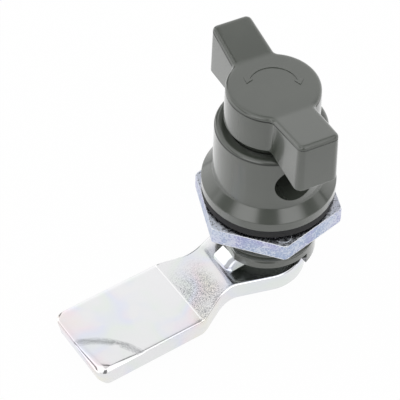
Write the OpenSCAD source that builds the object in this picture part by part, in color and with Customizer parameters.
// Half-turn lock with a wing knob: a flanged, threaded housing clamped in a
// panel by a gasket and a hex nut, and a knob whose shank carries a cranked cam.
// Origin: on the turning axis, in the plane of the flange's underside.
// +Z points out of the panel along the axis, and the wings and the padlock
// hole lie along Y. Millimetres.

/* [Housing] */
// Diameter of the flange that rests on the panel
flange_d = 28; // [26:0.5:34]
// Height of the flange's upright rim
flange_rim_h = 2.2; // [1.2:0.1:3.5]
// Diameter of the raised body at its foot
body_foot_d = 23.5; // [22.5:0.1:25]
// Diameter of the raised body at its mouth, less than the foot for draft
body_top_d = 23.1; // [22.2:0.1:24]
// Height of the raised body above the panel side of the flange
body_h = 17.5; // [16.8:0.1:24]
// Break on the outer edge of the mouth
mouth_bevel = 0.55; // [0.2:0.05:0.8]
// Diameter of the floor that the mouth narrows to, around the knob's collar
recess_d = 17.4; // [17.2:0.1:19.6]
// Depth of that floor below the mouth
recess_depth = 1.5; // [0.8:0.05:1.6]
// Bore that the shank turns in
bore_d = 15.1; // [13:0.1:16]

/* [Barrel] */
// Outer diameter of the M22 thread, less its allowance
thread_d = 21.7; // [20.5:0.1:23]
// Width across the two flats that stop the barrel from turning in the panel
flats_w = 19.6; // [18:0.1:21]
// Length of the barrel below the flange, down to the roof of the stop cut-out
barrel_l = 15.3; // [13:0.1:24]
// How far the stop land stands below the roof of the cut-out
land_h = 3.1; // [2.4:0.1:3.5]
// Chamfer on the end of the thread
thread_chamfer = 0.4; // [0.2:0.1:1]

/* [Gasket and nut] */
// Thickness of the rubber gasket
gasket_t = 2; // [1:0.1:3]
// Gap left for the panel between gasket and nut
panel_gap = 0.9; // [0.5:0.1:6]
// Width of the nut across its flats
nut_af = 27.5; // [26.5:0.5:32]
// Thickness of the nut
nut_t = 4.1; // [2.5:0.1:5]
// Angle of one of the nut's corners from +X
nut_turn = 16.5; // [-30:0.5:30]
// Break on the nut's corners
nut_break = 0.3; // [0.2:0.1:1.2]

/* [Knob] */
// Diameter of the hub at its lower edge
hub_d = 19.5; // [18.2:0.1:20.8]
// Draft of the hub's side, in degrees
hub_draft = 1.5; // [0:0.1:3]
// Height of the hub
hub_h = 8.7; // [7:0.1:11]
// Gap between the mouth of the housing and the hub
hub_gap = 1.5; // [0.8:0.1:3]
// Rounding of the knob's upper edges
edge_r = 0.8; // [0.4:0.1:1.2]
// Reach of a wing from the axis
wing_reach = 19.2; // [16:0.1:24]
// Width of a wing where it leaves the hub
wing_root_w = 9.2; // [7:0.1:11]
// Width of a wing at its tip
wing_tip_w = 8.7; // [6:0.1:10]
// Rise of a wing's back from the hub's top to its tip
wing_rise = 1.7; // [0:0.1:3]
// Drop of a wing's underside from the hub's lower edge to its tip
wing_drop = 1.3; // [0:0.1:2.4]
// Draft of a wing's sides, in degrees
wing_draft = 1.3; // [0:0.1:3]
// Rounding of the upright corners at a wing's tip
wing_corner_r = 1.3; // [0.9:0.1:2.5]
// Fillet between a wing's side and the hub
root_fillet = 1.6; // [0.8:0.1:2.5]
// Diameter of the collar that sits in the housing's mouth
collar_d = 16.8; // [16.1:0.1:17]

/* [Padlock hole] */
// Diameter of the hole for a padlock's shackle
shackle_hole_d = 9.2; // [6:0.1:9.6]
// Height of the hole's axis above the flange's underside
shackle_hole_z = 10.7; // [10:0.1:10.9]

/* [Shank] */
// Diameter of the shank
shank_d = 15; // [12.9:0.1:15.9]
// Width of the square that drives the cam
square_w = 10; // [8:0.1:10.4]
// Thickness of the seal ring's cord
seal_cord_d = 1.5; // [1:0.1:2]
// Height of the seal ring above the flange's underside
seal_z = 2.4; // [0.5:0.1:3.4]
// Gap between the stop land and the cam
end_play = 0.2; // [0.1:0.05:0.4]

/* [Cam] */
// Direction of the cam's blade from +X, seen from the knob
cam_direction = 188; // [170:1:190]
// Thickness of the cam
cam_t = 4.2; // [3:0.1:5]
// Diameter of the cam's round end
cam_hub_d = 19.8; // [18.5:0.1:24]
// Reach of the round end behind the axis
cam_tail = 8.4; // [7.8:0.1:9.2]
// Width of the neck
neck_w = 13.2; // [11:0.1:16]
// Width of the blade
blade_w = 18.8; // [16:0.1:24]
// Reach of the blade from the axis
cam_reach = 47.7; // [36:0.1:70]
// Distance from the axis to the first fold
fold_near = 12.7; // [12.4:0.1:14]
// Distance from the axis to the second fold
fold_far = 22.3; // [20:0.1:26]
// Step down from the hub to the blade
crank = 2.7; // [0:0.1:6]
// Rounding of the blade's corners
blade_corner_r = 2.4; // [1:0.1:6]
// Radius of the hollow on each side of the neck
neck_hollow_r = 7; // [4:0.5:12]
// Radius of the shoulder where the neck widens to the blade
shoulder_r = 5; // [3:0.5:8]

/* [Stop lug] */
// Width of the lug
lug_w = 5.9; // [4:0.1:8]
// Height of the lug
lug_h = 2.1; // [1:0.05:2.1]
// Distance from the axis to the lug's outer end
lug_reach = 11.8; // [10.5:0.1:12.3]
// Length of the ramp on the lug's outer end
lug_ramp_l = 2.6; // [0.5:0.1:3.5]
// Height of the lug at the foot of that ramp
lug_edge_h = 0.6; // [0.2:0.1:1]
// Angle of the lug from the cam's middle line
lug_turn = 2.5; // [-5:0.5:5]
// Angle that the knob turns each way from the middle
turn_each_way = 90; // [45:5:100]

/* [Cam fastening] */
// Diameter of the screw, M6
screw_d = 6; // [4:0.5:6]
// Length of the screw below its head
screw_l = 16; // [10:1:20]
// Diameter of the screw's pan head
screw_head_d = 12; // [9:0.1:13]
// Height of that head
screw_head_h = 3.6; // [2.4:0.1:4.6]
// Outer diameter of the plain washer
washer_d = 16.4; // [14.6:0.1:18]
// Thickness of the plain washer
washer_t = 1.5; // [1:0.1:2]
// Outer diameter of the spring washer
spring_washer_d = 11.8; // [9:0.1:13]
// Thickness of the flattened spring washer
spring_washer_t = 1.4; // [1:0.1:2]

/* [Hidden] */
$fn = 96;

over = 0.1;          // how far a cut runs past the face it opens
fit_gap = 0.05;      // clearance between pieces that are assembled by hand
thread_gap = 0.1;    // clearance of a smooth bore over a thread
stop_slack = 0.08;   // gap left between lug and stop at the end of the turn
square_short = 0.2;  // how far the square ends inside the cam, so that the washer clamps it

flange_cone_h = (flange_d - body_foot_d) / 2;
mouth_d = body_top_d - 2 * mouth_bevel;
recess_floor_z = body_h - recess_depth;
collar_z = recess_floor_z + fit_gap;
hub_z = body_h + hub_gap;
hub_top_z = hub_z + hub_h;
hub_top_r = hub_d / 2 - hub_h * tan(hub_draft);
land_z = -barrel_l - land_h;
cam_z = land_z - end_play;
cam_floor_z = cam_z - cam_t;
square_z = cam_floor_z + square_short;
nut_z = -gasket_t - panel_gap - nut_t;
tap_depth = screw_l + 2;
washer_z = cam_floor_z - washer_t;
spring_washer_z = washer_z - spring_washer_t;
seal_groove_r = shank_d / 2 - seal_cord_d + fit_gap;

// Points along a circular arc from one angle to another
function arc(centre, r, from, to, steps = 8) =
    [for (i = [0:steps]) let (a = from + (to - from) * i / steps)
        centre + r * [cos(a), sin(a)]];

function mirrored(points) =
    [for (i = [len(points) - 1:-1:0]) [points[i].x, -points[i].y]];

module shackle_hole() {
    translate([0, 0, shackle_hole_z])
        rotate([90, 0, 0])
            cylinder(d = shackle_hole_d, h = 2 * flange_d, center = true);
}

// Plan of what the lug sweeps below the barrel, with the middle of the turn on +X
module lug_sweep() {
    polygon(concat([[0, 0]], arc([0, 0], thread_d, -turn_each_way, turn_each_way, 12)));
    for (side = [-1, 1])
        rotate(side * turn_each_way)
            translate([-over, -lug_w / 2 - stop_slack])
                square([thread_d, lug_w + 2 * stop_slack]);
}

// Outline of the barrel, or of a hole that clears it: round with two flats
module barrel_section(gap = 0) {
    intersection() {
        circle(d = thread_d + 2 * gap);
        square([flats_w + 2 * gap, thread_d + 4 * gap], center = true);
    }
}

// Half profile of flange and body above the panel
module body_profile() {
    polygon([[0, 0], [flange_d / 2, 0], [flange_d / 2, flange_rim_h],
             [body_foot_d / 2, flange_rim_h + flange_cone_h],
             [body_top_d / 2, body_h - mouth_bevel],
             [mouth_d / 2, body_h],
             [recess_d / 2, recess_floor_z], [0, recess_floor_z]]);
}

// Threaded barrel with two flats and a chamfered end
module barrel() {
    intersection() {
        translate([0, 0, land_z]) linear_extrude(over - land_z) barrel_section();
        rotate_extrude()
            polygon([[0, land_z], [thread_d / 2 - thread_chamfer, land_z],
                     [thread_d / 2, land_z + thread_chamfer],
                     [thread_d / 2, over], [0, over]]);
    }
}

module housing() {
    color([0.40, 0.41, 0.39])
    difference() {
        union() {
            rotate_extrude() body_profile();
            barrel();
        }
        translate([0, 0, land_z - over])
            cylinder(d = bore_d, h = recess_floor_z - land_z + 2 * over);
        shackle_hole();
        rotate(cam_direction + lug_turn)
            translate([0, 0, land_z - over])
                linear_extrude(land_h + over) lug_sweep();
    }
}

module panel_gasket() {
    color([0.12, 0.12, 0.13])
    translate([0, 0, -gasket_t])
        difference() {
            cylinder(d = flange_d - 2 * thread_gap, h = gasket_t);
            translate([0, 0, -over])
                linear_extrude(gasket_t + 2 * over) barrel_section(thread_gap);
        }
}

// A hexagon with its corners turned off on both faces
module panel_nut() {
    corner_d = nut_af / cos(30);
    color([0.70, 0.74, 0.85])
    translate([0, 0, nut_z])
        difference() {
            intersection() {
                rotate(nut_turn) cylinder(d = corner_d, h = nut_t, $fn = 6);
                rotate_extrude()
                    polygon([[0, 0], [corner_d / 2 - nut_break, 0],
                             [corner_d / 2, nut_break],
                             [corner_d / 2, nut_t - nut_break],
                             [corner_d / 2 - nut_break, nut_t], [0, nut_t]]);
            }
            translate([0, 0, -over])
                cylinder(d = thread_d + 2 * thread_gap, h = nut_t + 2 * over);
        }
}

// Half profile of the hub: drafted side, rounded upper edge
module hub_profile() {
    polygon(concat(
        [[0, hub_z], [hub_d / 2, hub_z]],
        arc([hub_top_r - edge_r, hub_top_z - edge_r], edge_r, 0, 90),
        [[0, hub_top_z]]));
}

// One wing: rounded upper edges, a back that rises and an underside that drops
module wing() {
    root_x = sqrt(pow(hub_top_r, 2) - pow(wing_root_w / 2, 2));
    tip_x = wing_reach - wing_corner_r;
    root_foot = hub_h * tan(wing_draft);
    tip_foot = (hub_h + wing_rise + wing_drop) * tan(wing_draft);
    hull()
        for (side = [-1, 1]) {
            translate([root_x, side * (wing_root_w / 2 - edge_r), hub_top_z - edge_r])
                sphere(r = edge_r, $fn = 24);
            translate([tip_x, side * (wing_tip_w / 2 - wing_corner_r),
                       hub_top_z + wing_rise - edge_r])
                rotate_extrude($fn = 32)
                    polygon(concat([[0, 0]],
                        arc([wing_corner_r - edge_r, 0], edge_r, 0, 90, 5),
                        [[0, edge_r]]));
            translate([root_x, side * (wing_root_w / 2 + root_foot - edge_r), hub_z])
                cylinder(r = edge_r, h = over, $fn = 16);
            translate([tip_x + tip_foot, side * (wing_tip_w / 2 + tip_foot - wing_corner_r),
                       hub_z - wing_drop])
                cylinder(r = wing_corner_r, h = over, $fn = 32);
        }
}

// Concave corner between one side of a wing and the hub
module root_web() {
    reach = sqrt(pow(hub_top_r + root_fillet, 2) - pow(wing_root_w / 2 + root_fillet, 2));
    translate([0, 0, hub_z])
        linear_extrude(hub_h - edge_r)
            difference() {
                polygon([[hub_top_r * 0.6, wing_root_w / 2 - 0.6],
                         [reach, wing_root_w / 2 - 0.6],
                         [reach, wing_root_w / 2],
                         [reach * hub_top_r / (hub_top_r + root_fillet),
                          (wing_root_w / 2 + root_fillet) * hub_top_r / (hub_top_r + root_fillet)],
                         [hub_top_r * 0.6, wing_root_w / 2 + 1]]);
                translate([reach, wing_root_w / 2 + root_fillet]) circle(r = root_fillet);
            }
}

module wing_knob() {
    color([0.40, 0.41, 0.39])
    difference() {
        union() {
            rotate_extrude() hub_profile();
            for (turn = [90, -90])
                rotate(turn) {
                    wing();
                    root_web();
                    mirror([0, 1, 0]) root_web();
                }
            translate([0, 0, collar_z]) cylinder(d = collar_d, h = hub_z - collar_z + over);
            translate([0, 0, cam_z]) cylinder(d = shank_d, h = collar_z - cam_z + over);
            rotate(cam_direction)
                translate([-square_w / 2, -square_w / 2, square_z])
                    cube([square_w, square_w, cam_z - square_z + over]);
        }
        shackle_hole();
        translate([0, 0, seal_z - seal_cord_d / 2 - fit_gap])
            rotate_extrude()
                translate([seal_groove_r, 0])
                    square([shank_d, seal_cord_d + 2 * fit_gap]);
        translate([0, 0, square_z - over])
            cylinder(d = screw_d + 2 * fit_gap, h = tap_depth + over);
    }
}

module shank_seal() {
    color([0.10, 0.10, 0.10])
    translate([0, 0, seal_z])
        rotate_extrude()
            translate([seal_groove_r + seal_cord_d / 2, 0])
                circle(d = seal_cord_d - fit_gap, $fn = 32);
}

// Plan of the cam along +X: round end, tapering neck, flare and blade
module cam_plan() {
    hub_r = cam_hub_d / 2;
    hub_x = hub_r - cam_tail;
    flank = 15;
    flare = 26;
    neck_end = fold_near + 1.4;
    shoulder_x = fold_far + 0.6;
    corner = blade_corner_r;
    half = concat(
        [[hub_x, 0], [hub_x, hub_r]],
        arc([hub_x, 0], hub_r, 90, 90 - flank, 4),
        arc([neck_end, neck_w / 2 + neck_hollow_r], neck_hollow_r, -90 - flank, -90 + flare, 6),
        arc([shoulder_x, blade_w / 2 - shoulder_r], shoulder_r, 90 + flare, 90, 5),
        arc([cam_reach - corner, blade_w / 2 - corner], corner, 90, 0),
        [[cam_reach, 0]]);
    polygon(half);
    polygon(mirrored(half));
    translate([hub_x, 0]) circle(r = hub_r);
}

// Side view of the cranked strip, with its folds square to its length
module cam_side() {
    blade_z = cam_z - crank;
    polygon([[-cam_hub_d, cam_z], [fold_near, cam_z], [fold_far, blade_z],
             [cam_reach + 1, blade_z], [cam_reach + 1, blade_z - cam_t],
             [fold_far, blade_z - cam_t], [fold_near, cam_z - cam_t],
             [-cam_hub_d, cam_z - cam_t]]);
}

// Block with a ramp on its outer end, hollowed to clear the shank
module stop_lug() {
    difference() {
        rotate([90, 0, 0])
            linear_extrude(lug_w, center = true)
                polygon([[0, cam_z - over], [lug_reach, cam_z - over],
                         [lug_reach, cam_z + lug_edge_h],
                         [lug_reach - lug_ramp_l, cam_z + lug_h], [0, cam_z + lug_h]]);
        translate([0, 0, cam_z - 2 * over])
            cylinder(d = shank_d + 2 * fit_gap, h = lug_h + 3 * over);
    }
}

module cam() {
    color([0.86, 0.87, 0.88])
    rotate(cam_direction)
        difference() {
            union() {
                intersection() {
                    translate([0, 0, cam_floor_z - crank - 1])
                        linear_extrude(cam_t + crank + 2) cam_plan();
                    rotate([90, 0, 0])
                        linear_extrude(2 * blade_w, center = true) cam_side();
                }
                rotate(lug_turn) stop_lug();
            }
            translate([-square_w / 2 - fit_gap, -square_w / 2 - fit_gap, cam_floor_z - over])
                cube([square_w + 2 * fit_gap, square_w + 2 * fit_gap, cam_t + 2 * over]);
        }
}

module cam_washer() {
    color([0.78, 0.79, 0.80])
    translate([0, 0, washer_z])
        difference() {
            cylinder(d = washer_d, h = washer_t);
            translate([0, 0, -over])
                cylinder(d = screw_d + 4 * thread_gap, h = washer_t + 2 * over);
        }
}

// Split ring, pressed flat by the screw
module cam_spring_washer() {
    color([0.70, 0.71, 0.72])
    translate([0, 0, spring_washer_z])
        difference() {
            cylinder(d = spring_washer_d, h = spring_washer_t);
            translate([0, 0, -over])
                cylinder(d = screw_d + 2 * thread_gap, h = spring_washer_t + 2 * over);
            rotate([0, 20, 0])
                translate([0, -0.3, -spring_washer_t])
                    cube([spring_washer_d, 0.6, 4 * spring_washer_t]);
        }
}

// Half profile of the pan head and its shank
module screw_profile() {
    head_r = screw_head_d / 2;
    skirt = screw_head_h * 0.45;
    polygon(concat(
        [[0, screw_l], [screw_d / 2 - 0.6, screw_l], [screw_d / 2, screw_l - 0.6],
         [screw_d / 2, 0], [head_r, 0], [head_r, -skirt]],
        [for (a = [15:15:75]) [head_r * 0.45 + head_r * 0.55 * cos(a),
                               -skirt - (screw_head_h - skirt) * sin(a)]],
        [[head_r * 0.45, -screw_head_h], [0, -screw_head_h]]));
}

module cam_screw() {
    color([0.74, 0.75, 0.76])
    translate([0, 0, spring_washer_z])
        difference() {
            rotate_extrude() screw_profile();
            // Cross recess
            for (turn = [0, 90])
                rotate(turn)
                    translate([-screw_head_d * 0.27, -0.55, -screw_head_h - over])
                        cube([screw_head_d * 0.54, 1.1, screw_head_h * 0.55 + over]);
        }
}

housing();
panel_gasket();
panel_nut();
wing_knob();
shank_seal();
cam();
cam_washer();
cam_spring_washer();
cam_screw();
